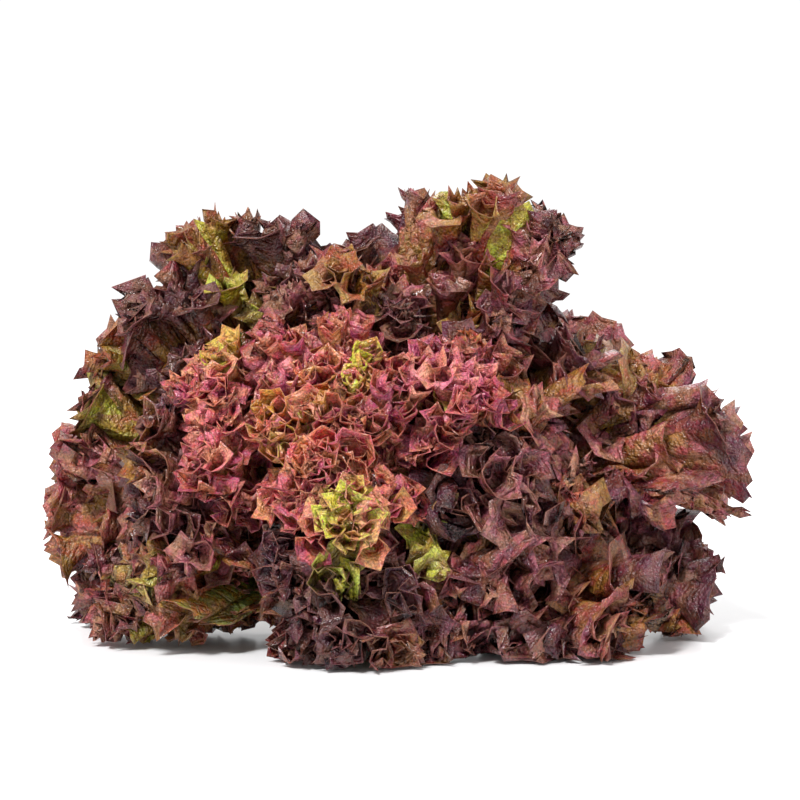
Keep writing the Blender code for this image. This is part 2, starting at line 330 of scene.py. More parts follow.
@dataclass(frozen=True)
class Rosette:
    """How the large leaves stand in rings round the crown, and the small ones in the heart."""

    crown: Crown
    rings: tuple[tuple[float, int, float], ...] = (
        (32.0, 4, -90.0),
        (48.0, 5, 54.0),
        (64.5, 6, 30.0),
        (81.0, 7, 12.0),
        (97.5, 7, -14.0),
    )
    lowest_rise: float = math.radians(-27)
    band: float = math.radians(7.5)
    heart_leaves: int = 11
    heart_reach: float = 0.102
    heart_swing: float = math.radians(3.4)
    golden_turn: float = 137.5
    reach_luck: float = 0.004
    round_turns: tuple[float, ...] = (-125, -105, -76, -60, -44, -23, -4, 20, 36, 53, 67, 80, 104, 125)
    round_reach: tuple[float, ...] = (
        *(0.118, 0.124, 0.134, 0.138, 0.134, 0.141, 0.120),
        *(0.155, 0.124, 0.136, 0.149, 0.144, 0.122, 0.118),
    )
    seed: int = 11

    def reach(self, direction: np.ndarray) -> float:
        """How far a leaf in this direction reaches: two tall lobes behind and a lower front."""
        turn = math.degrees(math.atan2(direction[0], direction[2]))
        round_reach = float(np.interp(turn, self.round_turns, self.round_reach))
        front = float(smooth_step(-direction[1], 0.15, 0.75))
        return round_reach + front * (self.crown.front_reach - round_reach)

    def large(self) -> list[LeafPlan]:
        """The large leaves, ring by ring outwards, in the order of their solids."""
        chance = random.Random(self.seed)
        plans: list[LeafPlan] = []
        for lean_degrees, count, first_turn in self.rings:
            lean = math.radians(lean_degrees)
            for k in range(count):
                turn = math.radians(first_turn + 360 * k / count)
                luck = [chance.uniform(-1, 1) for _ in range(5)]
                direction = self.crown.outward(np.array(lean), np.array(turn))
                if math.asin(direction[2]) < self.lowest_rise:
                    continue
                plans.append(
                    LeafPlan(
                        name=f"leaf_{len(plans) + 1:02d}",
                        kind=LeafKind.LARGE,
                        lean=lean,
                        turn=turn,
                        reach=self.reach(direction) - self.reach_luck + self.reach_luck * luck[0],
                        half_cell=math.pi / count,
                        swing=self.band,
                        seed=100 + len(plans),
                        overlap=1.0,
                        fold_phase=math.pi * luck[1],
                        frill_phase=math.pi * (0.25 + (luck[2] > 0)),
                        warp=(0.05 * luck[3], 0.03 * luck[4]),
                    )
                )
        return plans

    def heart(self) -> list[LeafPlan]:
        """The small leaves round the bud, each a little further out than the last."""
        plans: list[LeafPlan] = []
        for k in range(self.heart_leaves):
            share = k / (self.heart_leaves - 1)
            plans.append(
                LeafPlan(
                    name=f"heart_leaf_{k + 1:02d}",
                    kind=LeafKind.HEART,
                    lean=math.radians(5 + 16 * share),
                    turn=math.radians(-25 + self.golden_turn * k),
                    reach=self.heart_reach + 0.008 * share,
                    half_cell=math.radians(70 - 26 * share) / LeafForm.spread_over,
                    swing=self.heart_swing,
                    seed=500 + k,
                )
            )
        return plans


@dataclass(frozen=True)
class FrillRule:
    """One size of frill: its waves across a sheet, its height, its curl, its start and how it grows."""

    waves: float
    height: float
    curl: float
    start: float
    power: float


@dataclass(frozen=True)
class SheetRule:
    """One sheet of a leaf: the blade itself, or a ruffle that grows out of the blade's face.

    The first frill is the largest, and its lips open like a bell. A sheet with no frills has a plain edge.
    """

    start: float
    end: float
    width: float
    rise: float
    columns: int
    rows: tuple[float, ...]
    frills: tuple[FrillRule, ...] = ()
    lip: float = 0.0
    tooth: float = 0.0
    bay: float = 0.0


@dataclass(frozen=True)
class LeafStyle:
    """The sheets of one kind of leaf, how far its broad frills curl, and how thick it is, in metres."""

    sheets: tuple[SheetRule, ...]
    frill_curl: float = 0.0055
    blade: float = 0.00032
    rib: float = 0.0024


SHORT_ROWS = (0.0, 0.34, 0.62, 0.84, 1.0)
RUFFLE_ROWS = (0.0, 0.32, 0.58, 0.77, 0.90, 1.0)
MARGIN_ROWS = (0.0, 0.30, 0.54, 0.72, 0.85, 0.93, 1.0)


def ruffle(
    start: float, end: float, rise: float, columns: int, waves: float, size: float, width: float = 0.90
) -> SheetRule:
    """A ruffle on the face of a large leaf, with large frills and smaller ones on them.

    Args:
        start: Where it leaves the blade, from 0 at the stem to 1 at the margin.
        end: How far out it reaches, on the same scale.
        rise: How far it leans away from the blade at its edge, in degrees.
        columns: How many cells it has across.
        waves: How many large frills it has.
        size: How far its frills stand out to each side, in metres.
        width: The share of the leaf's width that it crosses.

    Returns:
        The rule of the sheet.
    """
    return SheetRule(
        start=start,
        end=end,
        width=width,
        rise=math.radians(rise),
        columns=columns,
        rows=RUFFLE_ROWS if end > 0.75 else SHORT_ROWS,
        frills=(
            FrillRule(waves=waves, height=size, curl=0.54 * size, start=0.0, power=1.2),
            FrillRule(waves=2.6 * waves, height=0.40 * size, curl=0.20 * size, start=0.3, power=1.3),
        ),
        lip=1.15 * size,
        tooth=0.0027,
        bay=1.1 * size,
    )


def margin(columns: int, waves: float, size: float) -> SheetRule:
    """The outer part of a large leaf's blade: like a ruffle, but flat on the leaf and cut more deeply."""
    flat = ruffle(0.58, 1.0, 0.0, columns, waves, size, 1.0)
    return replace(flat, rows=MARGIN_ROWS, tooth=0.0029, bay=2.0 * size)


INNER_BLADE = SheetRule(
    start=0.0, end=0.60, width=1.0, rise=0.0, columns=72, rows=(0.0, 0.27, 0.50, 0.70, 0.86, 1.0)
)

LARGE_STYLE = LeafStyle(
    sheets=(
        INNER_BLADE,
        margin(400, 20.0, 0.0044),
        ruffle(0.42, 0.70, 4.5, 160, 12.0, 0.0048),
        ruffle(0.56, 0.83, 4.5, 280, 15.0, 0.0044),
        ruffle(0.70, 0.96, 3.5, 360, 18.0, 0.0042),
    ),
)

BROAD_STYLE = LeafStyle(
    sheets=(
        INNER_BLADE,
        margin(400, 12.0, 0.0070),
        ruffle(0.42, 0.70, 4.5, 160, 8.0, 0.0066),
        ruffle(0.56, 0.83, 4.5, 280, 9.0, 0.0064),
        ruffle(0.70, 0.96, 3.5, 360, 11.0, 0.0064),
    ),
)

INNER_STYLE = LeafStyle(
    sheets=(
        INNER_BLADE,
        margin(480, 27.0, 0.0032),
        ruffle(0.56, 0.83, 4.5, 240, 20.0, 0.0032),
        ruffle(0.70, 0.96, 3.5, 440, 24.0, 0.0031),
        ruffle(0.80, 1.0, 4.5, 400, 23.0, 0.0030, 0.80),
    ),
    frill_curl=0.0050,
    blade=0.00030,
)

HEART_BLADE = SheetRule(
    start=0.0,
    end=1.0,
    width=1.0,
    rise=0.0,
    columns=336,
    rows=(0.0, 0.34, 0.56, 0.72, 0.84, 0.92, 0.97, 1.0),
    frills=(
        FrillRule(waves=21.0, height=0.0030, curl=0.0016, start=0.40, power=1.2),
        FrillRule(waves=47.0, height=0.0011, curl=0.0005, start=0.60, power=1.3),
    ),
    lip=0.0034,
    tooth=0.0021,
    bay=0.0030,
)
HEART_STYLE = LeafStyle(sheets=(HEART_BLADE,), frill_curl=0.0030, blade=0.00028, rib=0.0010)

BROAD_LEAVES = ("leaf_10", "leaf_12", "leaf_13", "leaf_15", "leaf_16", "leaf_21", "leaf_22")
BEHIND_HEART = "leaf_03"


class Wander:
    """A smooth random pattern over a leaf, from -1 to 1."""

    def __init__(self, chance: random.Random, over: float, out: float, count: int = 6) -> None:
        """Draws the waves that add up to the pattern.

        Args:
            chance: The leaf's own random numbers.
            over: About how many waves there are across half the leaf.
            out: About how many there are from the stem to the margin.
            count: How many waves are added.
        """
        self.waves = [
            (
                2 * math.pi * over * chance.uniform(0.3, 1.2),
                2 * math.pi * out * chance.uniform(-1.0, 1.0),
                chance.uniform(0, 2 * math.pi),
            )
            for _ in range(count)
        ]

    def __call__(self, across: np.ndarray, along: np.ndarray) -> np.ndarray:
        """The pattern at these places of the leaf."""
        total = sum(np.sin(over * across + out * along + phase) for over, out, phase in self.waves)
        return np.clip(total / math.sqrt(1.4 * len(self.waves)), -1, 1)


class LeafForm:
    """The form of one leaf before its fine frills: the same rule as its solid, and a little looser."""

    folds: float = 2.5
    frills: float = 6.0
    frill_start: float = 0.42
    fold_share: float = 0.42
    base_share: float = 0.80
    spread_over: float = 1.26
    shoulder_drop: float = 0.45
    upright_share: float = 0.72
    lobe_depth: float = 0.03
    phase_drift: float = 1.1
    height_drift: float = 0.25
    lap_calm: float = 0.60
    lap_lift: float = 0.5

    def __init__(self, crown: Crown, plan: LeafPlan, style: LeafStyle) -> None:
        """Draws the leaf's own wanderings.

        Args:
            crown: The crown that it grows from.
            plan: Where it stands and how it folds.
            style: The sheets that it is made of.
        """
        self.crown = crown
        self.plan = plan
        self.style = style
        self.chance = random.Random(plan.seed)
        self.phase_wander = Wander(self.chance, 1.2, 1.2)
        self.height_wander = Wander(self.chance, 1.6, 1.0)
        self.lobe_wander = Wander(self.chance, 1.8, 0.3)
        self.blister = Wander(self.chance, 5.0, 6.0, 9)
        self.patches = Wander(self.chance, 1.6, 1.6)
        self.cups = Wander(self.chance, 4.0, 3.0, 8)
        self.habit = HABITS.get(plan.name, LeafHabit())

    def points(self, across: np.ndarray, along: np.ndarray, rise: np.ndarray) -> np.ndarray:
        """Points of the leaf's middle surface.

        Args:
            across: Places from one side of the leaf, -1, to the other, 1.
            along: Places from the stem, 0, to the margin, 1.
            rise: How far each point leans away from the blade towards the heart, in radians.

        Returns:
            The points, in metres.
        """
        plan, crown = self.plan, self.crown
        place = across + plan.warp[0] * np.sin(math.pi * across) + plan.warp[1] * np.sin(2 * math.pi * across)
        lobed = 1 - self.lobe_depth * smooth_step(along, 0.5, 1.0) * (0.6 + self.lobe_wander(across, along))
        trimmed = 1 + covered(self.habit.trims, across) * smooth_step(along, 0.4, 0.9)
        outline = (1 - self.shoulder_drop * np.abs(place) ** 2.5) * lobed * trimmed
        radius = crown.root_reach + (plan.reach * outline - crown.root_reach) * along
        near = np.maximum(radius, 0.3 * plan.reach)

        frilled = np.clip((along - self.frill_start) / (1 - self.frill_start), 0.0, 1.0)
        phase = math.pi * self.frills * (across + 1) + plan.frill_phase
        phase = phase + self.phase_drift * self.phase_wander(across, along)
        curl = -self.style.frill_curl * frilled * np.sin(2 * phase)

        folds = smooth_step(along, 0.15, 0.95) * np.sin(math.pi * self.folds * across + plan.fold_phase)
        waves = frilled**1.3 * np.sin(phase) * (1 + self.height_drift * self.height_wander(across, along))
        lapped = smooth_step(np.abs(place), 0.26, 0.56)
        sway = (1 - self.lap_calm * lapped) * (self.fold_share * folds + (1 - self.fold_share) * waves)
        sway = sway + self.lap_lift * plan.overlap * lapped * np.sign(place)

        spread = plan.half_cell * (
            self.base_share + (self.spread_over - self.base_share) * smooth_step(along, 0.1, 0.8)
        )
        upright = self.upright_share + (1 - self.upright_share) * (radius / crown.leaf_reach) ** 1.2
        lean = upright * plan.lean + plan.swing * sway - rise
        turn = plan.turn + place * spread + curl / (near * math.sin(plan.lean))
        fan = crown.centre + radius[..., None] * crown.outward(*crown.loosened(lean, turn))

        root = crown.attachment(plan, turn)
        away = np.clip((crown.leaf_reach - radius) / (crown.leaf_reach - crown.root_reach), 0.0, 1.0)
        hold = (away**2.6)[..., None]
        return crown.eased(hold * root + (1 - hold) * fan, 1 - hold[..., 0])


def softened(room: np.ndarray, ease: np.ndarray) -> np.ndarray:
    """Distances from a wall, of which those shorter than the ease are drawn out and never reach 0."""
    return np.where(room < ease, ease * np.exp((room - ease) / ease), room)


class LeafSheet:
    """One sheet of a leaf as a grid of points, frilled more finely towards its edge and toothed there."""

    fine_columns: int = 4
    evenness_floor: float = 0.15
    columns_per_tooth: int = 2
    teeth_per_lobe: int = 9
    blister_height: float = 0.0011
    dent_height: float = 0.0008
    lip_start: float = 0.72
    lip_bend_back: float = 0.45
    box_gap: float = 0.0008
    side_ease: tuple[float, float, float] = (0.004, 0.004, 0.004)
    low_ease: tuple[float, float, float] = (0.004, 0.004, 0.0025)
    calm_cut: float = 0.85
    uneven_length: float = 0.24

    def __init__(self, form: LeafForm, rule: SheetRule) -> None:
        """Shapes the sheet.

        Args:
            form: The leaf that it belongs to.
            rule: The part of the leaf that it covers, and its frills.
        """
        self.form = form
        self.rule = rule
        cells = self.fine_columns * rule.columns if rule.frills else rule.columns
        self._shape(np.linspace(-rule.width, rule.width, cells + 1))
        if rule.frills:
            self._shape(self._even_places())
            self._tooth()
        self._keep_in_box()

    def _shape(self, places: np.ndarray) -> None:
        """Works out the sheet's points, from the same random draws each time.

        Args:
            places: Where its columns stand across the leaf.
        """
        rule, form = self.rule, self.form
        self.chance = random.Random(form.plan.seed * 31 + int(1000 * rule.end))
        shape = (len(rule.rows), len(places))
        self.share = np.broadcast_to(np.array(rule.rows)[:, None], shape)
        self.across = np.broadcast_to(places[None, :], shape)
        uneven = Wander(self.chance, 1.6, 0.0)
        plain = np.clip(covered(form.habit.leafy, self.across), 0, 1)
        calmed = covered(form.habit.calms, self.across)
        drawn = self.calm_cut * np.clip(plain + 0.7 * calmed, 0, 1)
        longer = 1 + (self.uneven_length * uneven(self.across, self.share) - drawn) * (rule.rise > 0)
        self.along = rule.start + (rule.end - rule.start) * self.share * longer
        edge = 1 - 0.6 * np.abs(self.across / rule.width) ** 4
        self.points = form.points(self.across, self.along, rule.rise * self.share**1.4 * edge)
        self.lively = 1 - np.clip(calmed + plain, 0.0, 0.9)
        self.swelling = np.zeros(shape)
        self._blister()
        for frill in rule.frills:
            self._frill(frill)
        if rule.frills:
            self._crumple()
            self._flare()

    def _even_places(self) -> np.ndarray:
        """Places of the columns across the leaf, spaced by its teeth along its frilled edge."""
        near_edge = self.points[-2:]
        steps = np.linalg.norm(np.diff(near_edge, axis=1), axis=2).mean(axis=0)
        uneven = Wander(self.chance, 3.0, 0.0)(self.across[0], 0.0 * self.across[0])
        steps = (steps + self.evenness_floor * steps.mean()) * (1 + 0.35 * uneven[1:])
        length = np.concatenate([[0.0], np.cumsum(steps)])
        wanted = np.linspace(0.0, length[-1], self.rule.columns + 1)
        return np.interp(wanted, length, self.across[0])

    def _directions(self) -> tuple[np.ndarray, np.ndarray, np.ndarray]:
        """Unit vectors across the leaf, along it and square to it, at every point."""
        over = np.gradient(self.points, axis=1)
        out = np.gradient(self.points, axis=0)
        over /= np.linalg.norm(over, axis=2)[..., None]
        out /= np.linalg.norm(out, axis=2)[..., None]
        square = np.cross(out, over)
        square /= np.linalg.norm(square, axis=2)[..., None]
        return over, out, square

    def _move(self, distance: np.ndarray, direction: np.ndarray) -> None:
        """Moves every point by its own distance along its own direction."""
        self.points = self.points + distance[..., None] * direction

    def _blister(self) -> None:
        """Puckers the blade between its veins."""
        _, _, square = self._directions()
        grown = self.blister_height * smooth_step(self.along, 0.2, 0.45)
        self._move(grown * self.form.blister(self.across, self.along), square)

    def _frill(self, frill: FrillRule) -> None:
        """Adds one size of frill: waves square to the surface whose crests curl over.

        Args:
            frill: The frill's size.
        """
        over, _, square = self._directions()
        grown = np.clip((self.share - frill.start) / (1 - frill.start), 0.0, 1.0) ** frill.power
        wander = Wander(self.chance, frill.waves / 9, 1.2)
        strength = Wander(self.chance, frill.waves / 7, 0.8)
        phase = math.pi * frill.waves * self.across / self.rule.width + 1.7 * wander(self.across, self.along)
        grown = grown * self.lively
        height = frill.height * grown * (1 + 0.45 * strength(self.across, self.along))
        if frill is self.rule.frills[0]:
            self.swelling = np.sin(phase)
        self._move(height * np.sin(phase), square)
        self._move(-frill.curl * grown * np.sin(2 * phase), over)

    def _crumple(self) -> None:
        """Dents the walls of the frills a little."""
        _, _, square = self._directions()
        dents = Wander(self.chance, 0.12 * self.rule.columns, 9.0, 12)
        grown = self.dent_height * smooth_step(self.share, 0.1, 0.5) * self.lively
        self._move(grown * dents(self.across, self.along), square)

    def _flare(self) -> None:
        """Opens each frill like a bell: its lip leans further out to its own side and then back."""
        _, out, square = self._directions()
        turned = np.clip((self.share - self.lip_start) / (1 - self.lip_start), 0.0, 1.0) ** 1.6
        uneven = Wander(self.chance, self.rule.columns / 50, 0.0)
        lip = self.rule.lip * self.lively * (1 + 0.8 * uneven(self.across, self.along))
        self._move(lip * turned * self.swelling, square)
        self._move(-self.lip_bend_back * lip * turned**2 * np.abs(self.swelling), out)

    def _tooth(self) -> None:
        """Draws the edge out to points, and cuts bays between its lobes."""
        _, out, _ = self._directions()
        count = np.arange(self.points.shape[1]) / self.columns_per_tooth
        count = np.broadcast_to(count[None, :], self.share.shape)
        strength = Wander(self.chance, self.rule.columns / 30, 0.0)
        drift = Wander(self.chance, self.rule.columns / 60, 0.0)
        point = 1 - np.abs(np.sin(math.pi * count)) ** 0.6
        length = self.rule.tooth * (1 + 0.45 * strength(self.across, self.along))
        lobe = np.abs(np.sin(math.pi * count / self.teeth_per_lobe + 1.8 * drift(self.across, self.along)))
        teeth = length * smooth_step(self.share, 0.66, 1.0) ** 1.3 * (point - 0.25)
        bays = self.rule.bay * smooth_step(self.share, 0.35, 1.0) * (1 - lobe) ** 2
        self._move(teeth - bays, out)

    def _keep_in_box(self) -> None:
        """Eases the frills back where they near the sides of the solids' box or the surface."""
        low, high = np.array(CAD_LOW) + self.box_gap, np.array(CAD_HIGH) - self.box_gap
        self.points = high - softened(high - self.points, np.array(self.side_ease))
        self.points = low + softened(self.points - low, np.array(self.low_ease))


WHITE = (1.0, 1.0, 1.0, 1.0)
FLOAT = "NodeSocketFloat"
COLOUR = "NodeSocketColor"


class NodeSketch:
    """A short way to add nodes to a material or a group and to link them."""

    def __init__(self, tree: bpy.types.NodeTree) -> None:
        """Starts on a node tree that the nodes go in."""
        self.tree = tree
        self.count = 0

    @classmethod
    def emptied(cls, owner: bpy.types.Material | bpy.types.World) -> "NodeSketch":
        """Starts on a material or a world, without the nodes that it has.

        Args:
            owner: The material or the world.

        Returns:
            The sketch.
        """
        owner.use_nodes = True
        owner.node_tree.nodes.clear()
        return cls(owner.node_tree)

    def feed(self, node: bpy.types.Node, values: dict[str | int, object]) -> None:
        """Sets a node's inputs, or links them.

        Args:
            node: The node.
            values: What its inputs are set or linked to, by name or number.
        """
        for name, value in values.items():
            socket = node.inputs[name]
            if isinstance(value, bpy.types.NodeSocket):
                self.tree.links.new(value, socket)
            else:
                socket.default_value = value

    def add(
        self, kind: str, values: dict[str | int, object] | None = None, **settings: object
    ) -> bpy.types.Node:
        """Adds a node.

        Args:
            kind: The node's type, such as ShaderNodeMath.
            values: What its inputs are set or linked to, by name or number.
            settings: What its own settings are.

        Returns:
            The node.
        """
        node = self.tree.nodes.new(kind)
        node.location = (180 * (self.count % 9), -240 * (self.count // 9))
        self.count += 1
        for name, value in settings.items():
            setattr(node, name, value)
        self.feed(node, values or {})
        return node

    def group(self, tree: bpy.types.NodeTree, values: dict[str, object]) -> bpy.types.NodeOutputs:
        """What a node group puts out when it is given these values."""
        return self.add("ShaderNodeGroup", values, node_tree=tree).outputs

    def mix(self, share: object, first: object, second: object) -> bpy.types.NodeSocket:
        """The first colour, mixed with a share of the second."""
        return self.add("ShaderNodeMix", {0: share, 6: first, 7: second}, data_type="RGBA").outputs[2]

    def math(self, operation: str, first: object, second: object) -> bpy.types.NodeSocket:
        """One sum, product or other step on two numbers."""
        return self.add("ShaderNodeMath", {0: first, 1: second}, operation=operation).outputs[0]

    def ramp(
        self, value: object, low: float, high: float, start: float = 0.0, end: float = 1.0
    ) -> bpy.types.NodeSocket:
        """A smooth rise from start to end as the value goes from low to high."""
        limits = {"Value": value, "From Min": low, "From Max": high, "To Min": start, "To Max": end}
        return self.add("ShaderNodeMapRange", limits, interpolation_type="SMOOTHSTEP").outputs["Result"]


@dataclass(frozen=True)
class Cloud:
    """A layer of cloudy noise: how much finer than the broadest it is, and the limits that sharpen it."""

    finer: float
    detail: float
    roughness: float = 0.5
    limits: tuple[float, float] | None = None
    shift: tuple[float, float, float] | None = None


class LeafGroups:
    """The node groups that the finishes share.

    The clouds go by the names of their sockets, and so do the blush's colours. The masks are the leaf's
    attributes, by the names of the sockets that they feed.
    """

    clouds: dict[str, Cloud] = {
        "Broad": Cloud(1.0, 2.0, 0.5, (0.36, 0.64)),
        "Fine": Cloud(6.0, 4.0, 0.6, (0.34, 0.66)),
        "Crinkle": Cloud(11.0, 3.0, 0.55),
        "Grain": Cloud(32.0, 2.0),
        "Hue": Cloud(2.6, 2.0, 0.5, (0.38, 0.62), (0.31, 0.17, 0.23)),
        "Turn": Cloud(4.2, 3.0, 0.6, (0.34, 0.66), (0.73, 0.41, 0.57)),
    }
    colours: tuple[str, ...] = ("Deep", "Rust", "Plum", "Gold", "Green", "Bloom_and_sheen", "Lime")
    masks: dict[str, str] = {"Tone": "tone", "Greenness": "green", "Crest_pink_and_sheen": "crest_pink_and_sheen", "Limeness": "lime"}
    blush_clouds: tuple[str, ...] = ("Broad", "Fine", "Grain", "Hue", "Turn")

    def __init__(self) -> None:
        """Makes the groups."""
        self.mottle = self._mottle()
        self.veins = self._veins()
        self.blush = self._blush()

    @staticmethod
    def _group(
        name: str, inputs: dict[str, str], outputs: dict[str, str]
    ) -> tuple[NodeSketch, bpy.types.NodeOutputs, bpy.types.Node]:
        """An empty group with named sockets.

        Args:
            name: The group's name.
            inputs: Socket types by name.
            outputs: Socket types by name.

        Returns:
            A sketch of the group, what it is given, and the node for what it makes.
        """
        tree = bpy.data.node_groups.new(name, "ShaderNodeTree")
        for label, kind in inputs.items():
            tree.interface.new_socket(label, in_out="INPUT", socket_type=kind)
        for label, kind in outputs.items():
            tree.interface.new_socket(label, in_out="OUTPUT", socket_type=kind)
        sketch = NodeSketch(tree)
        return sketch, sketch.add("NodeGroupInput").outputs, sketch.add("NodeGroupOutput")

    def _mottle(self) -> bpy.types.NodeTree:
        """Cloudy patches at several sizes, from the place on the head."""
        sketch, given, made = self._group("leaf mottle", {"Scale": FLOAT}, dict.fromkeys(self.clouds, FLOAT))
        place = sketch.add("ShaderNodeTexCoord").outputs["Object"]
        for name, cloud in self.clouds.items():
            scale = sketch.math("MULTIPLY", given["Scale"], cloud.finer)
            values = {"Vector": place, "Scale": scale, "Detail": cloud.detail, "Roughness": cloud.roughness}
            if cloud.shift:
                shifted = sketch.add("ShaderNodeMapping", {"Vector": place, "Location": cloud.shift})
                values["Vector"] = shifted.outputs[0]
            noise = sketch.add("ShaderNodeTexNoise", values).outputs[0]
            sketch.feed(made, {name: sketch.ramp(noise, *cloud.limits) if cloud.limits else noise})
        return sketch.tree

    def _veins(self) -> bpy.types.NodeTree:
        """A net of veins that runs out from the stem, in the leaf's own map."""
        sketch, given, made = self._group("leaf veins", {"Width": FLOAT}, {"Mask": FLOAT, "Height": FLOAT})
        place = sketch.add("ShaderNodeTexCoord").outputs["UV"]
        edges = []
        for cells, looseness in (((16.0, 5.0, 1.0), 0.85), ((64.0, 24.0, 1.0), 0.9)):
            drawn = sketch.add("ShaderNodeMapping", {"Vector": place, "Scale": cells}).outputs[0]
            values = {"Vector": drawn, "Scale": 1.0, "Randomness": looseness}
            cell = sketch.add("ShaderNodeTexVoronoi", values, feature="DISTANCE_TO_EDGE")
            edges.append(cell.outputs["Distance"])
        limits = {"Value": edges[0], "From Max": given["Width"], "To Min": 1.0, "To Max": 0.0}
        line = sketch.add("ShaderNodeMapRange", limits).outputs["Result"]
        fine = sketch.ramp(edges[1], 0.0, 0.14, 1.0, 0.0)
        mask = sketch.math("MAXIMUM", line, sketch.math("MULTIPLY", fine, 0.45))
        sketch.feed(made, {"Mask": mask, "Height": sketch.math("MULTIPLY", mask, -1.0)})
        return sketch.tree

    def _blush(self) -> bpy.types.NodeTree:
        """The leaf's colour, from green at the stem through bronze to wine red at the frills, and pale pink
        on the frill crests: partly their own colour, partly a painted highlight.
        """
        numbers = dict.fromkeys((*self.masks, *self.blush_clouds), FLOAT)
        sketch, given, made = self._group(
            "leaf blush", dict.fromkeys(self.colours, COLOUR) | numbers, {"Colour": COLOUR}
        )
        fine = given["Fine"]
        broadly = sketch.math("MULTIPLY", given["Broad"], 0.7)
        patchy = sketch.math("ADD", broadly, sketch.math("MULTIPLY", fine, 0.5))
        warmth = sketch.math("MULTIPLY", sketch.math("ADD", patchy, 0.2), given["Tone"])
        wine = sketch.math("ADD", given["Hue"], sketch.ramp(given["Tone"], 0.0, 0.8, 0.35, -0.20))
        red = sketch.mix(warmth, given["Deep"], sketch.mix(wine, given["Rust"], given["Plum"]))
        greenness = sketch.math("MULTIPLY", given["Greenness"], sketch.ramp(fine, 0.0, 1.0, 0.62, 1.05))
        golden = sketch.mix(sketch.ramp(greenness, 0.0, 0.55), red, given["Gold"])
        tinted = sketch.mix(sketch.ramp(greenness, 0.45, 1.0), golden, given["Green"])
        # Pale pink on the frill crests: partly the margins' own colour, partly a painted highlight.
        crest_pink_and_sheen = sketch.math("MULTIPLY", given["Crest_pink_and_sheen"], sketch.ramp(fine, 0.0, 1.0, 0.35, 1.0))
        with_crest_sheen = sketch.mix(crest_pink_and_sheen, tinted, given["Bloom_and_sheen"])
        limeness = sketch.math("MULTIPLY", given["Limeness"], sketch.ramp(fine, 0.0, 0.8, 0.40, 1.0))
        grained = sketch.add(
            "ShaderNodeHueSaturation",
            {
                "Color": sketch.mix(limeness, with_crest_sheen, given["Lime"]),
                "Hue": sketch.ramp(given["Turn"], 0.0, 1.0, 0.466, 0.520),
                "Saturation": 1.08,
                "Value": sketch.ramp(given["Grain"], 0.30, 0.70, 0.66, 1.52),
            },
        )
        sketch.feed(made, {"Colour": grained.outputs[0]})
        return sketch.tree


@dataclass(frozen=True)
class LeafFinish:
    """One face of a leaf: its colours, its gloss and how strongly its veins show."""

    name: str
    deep: Colour
    rust: Colour
    plum: Colour
    gold: Colour
    green: Colour
    # The pale pink of the frill crests: partly the leaf's own colour, partly a painted highlight.
    bloom_and_sheen: Colour
    lime: Colour
    vein: Colour
    vein_share: float
    roughness: float
    glow: float
    patch_scale: float = 38.0
    vein_width: float = 0.05
    crinkle: float = 2.0
    grain: float = 1.1
    relief: float = 0.0009

    def build(self, groups: LeafGroups) -> bpy.types.Material:
        """Makes the material.

        Args:
            groups: The node groups that the leaf finishes share.

        Returns:
            The material.
        """
        material = bpy.data.materials.new(self.name)
        sketch = NodeSketch.emptied(material)
        mottle = sketch.group(groups.mottle, {"Scale": self.patch_scale})
        veins = sketch.group(groups.veins, {"Width": self.vein_width})
        given = {label: mottle[label] for label in groups.blush_clouds}
        for label in groups.colours:
            given[label] = (*getattr(self, label.lower()), 1.0)
        for label, mask in groups.masks.items():
            attribute = sketch.add("ShaderNodeAttribute", attribute_name=mask, attribute_type="GEOMETRY")
            given[label] = attribute.outputs["Fac"]
        blush = sketch.group(groups.blush, given)
        vein_share = sketch.math("MULTIPLY", veins["Mask"], self.vein_share)
        colour = sketch.mix(vein_share, blush["Colour"], (*self.vein, 1.0))
        gloss = sketch.ramp(mottle["Fine"], 0.0, 1.0, self.roughness - 0.08, self.roughness + 0.10)
        crinkle = sketch.math("MULTIPLY", mottle["Crinkle"], self.crinkle)
        grain = sketch.math("MULTIPLY", mottle["Grain"], self.grain)
        height = sketch.math("ADD", sketch.math("ADD", veins["Height"], crinkle), grain)
        bump = sketch.add("ShaderNodeBump", {"Height": height, "Strength": 1.0, "Distance": self.relief})
        skin = sketch.add(
            "ShaderNodeBsdfPrincipled",
            {"Base Color": colour, "Roughness": gloss, "Normal": bump.outputs[0], "Specular IOR Level": 0.7},
        )
        lit = sketch.add("ShaderNodeHueSaturation", {"Color": colour, "Saturation": 1.15, "Value": 1.7})
        through = sketch.add("ShaderNodeBsdfTranslucent", {"Color": lit.outputs[0]})
        both = sketch.add("ShaderNodeMixShader", {0: self.glow, 1: skin.outputs[0], 2: through.outputs[0]})
        sketch.add("ShaderNodeOutputMaterial", {"Surface": both.outputs[0]})
        return material


@dataclass(frozen=True)
class RimFinish:
    """The thin pale edge of a frill, whose pale pink is partly its own colour and partly a painted highlight
    of light shining through the thin edge.
    """

    name: str
    pale: Colour
    pink: Colour
    roughness: float
    patch_scale: float = 60.0

    def build(self, groups: LeafGroups) -> bpy.types.Material:
        """Makes the material.

        Args:
            groups: The node groups that the leaf finishes share.

        Returns:
            The material.
        """
        material = bpy.data.materials.new(self.name)
        sketch = NodeSketch.emptied(material)
        mottle = sketch.group(groups.mottle, {"Scale": self.patch_scale})
        colour = sketch.mix(mottle["Broad"], (*self.pale, 1.0), (*self.pink, 1.0))
        rough = sketch.ramp(mottle["Fine"], 0.0, 1.0, self.roughness, self.roughness + 0.15)
        skin = sketch.add("ShaderNodeBsdfPrincipled", {"Base Color": colour, "Roughness": rough})
        sketch.add("ShaderNodeOutputMaterial", {"Surface": skin.outputs[0]})
        return material


